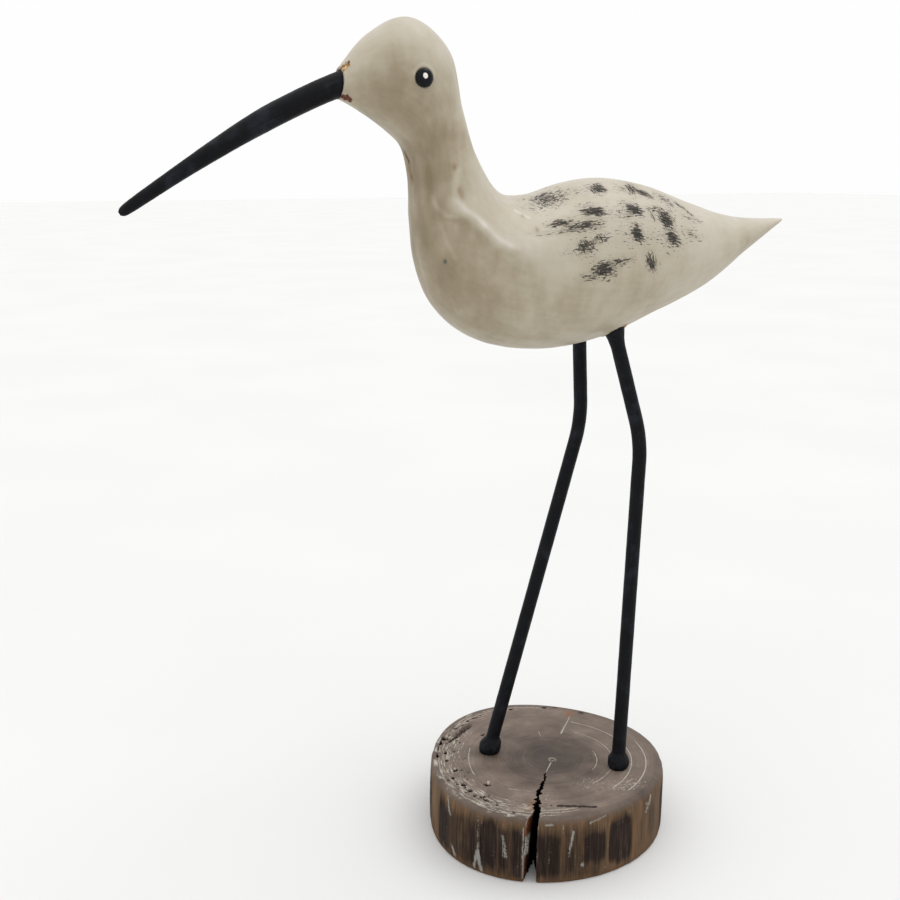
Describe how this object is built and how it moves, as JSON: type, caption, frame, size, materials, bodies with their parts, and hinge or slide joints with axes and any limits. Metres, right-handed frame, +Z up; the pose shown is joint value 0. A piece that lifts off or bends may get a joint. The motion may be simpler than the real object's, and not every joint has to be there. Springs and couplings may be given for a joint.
{
  "type": "shorebird figurine",
  "caption": "Carved and painted wooden shorebird with a long down-curved bill, standing on bent rod legs let into a cracked slice of log.",
  "frame": {"origin": "middle of the log slice's underside", "axes": "+Z up; the bird's bill points to -X, its tail to +X and its left side faces -Y"},
  "size_m": [0.3884, 0.141, 0.4507],
  "materials": {
    "painted_wood": "satin off-white paint with a brown glaze, dry-brushed charcoal dabs on the wings",
    "black_bill": "brushed satin black paint",
    "eye_bead": "gloss black with a small painted white dot",
    "black_rod": "satin black paint",
    "weathered_log": "grey-brown stained and lime-washed end grain, streaked brown sides"
  },
  "bodies": {
    "root": {"carved_body": "painted_wood", "bill": "black_bill", "left_eye": "eye_bead", "right_eye": "eye_bead", "left_leg": "black_rod", "right_leg": "black_rod", "log_base": "weathered_log"}
  },
  "joints": []
}
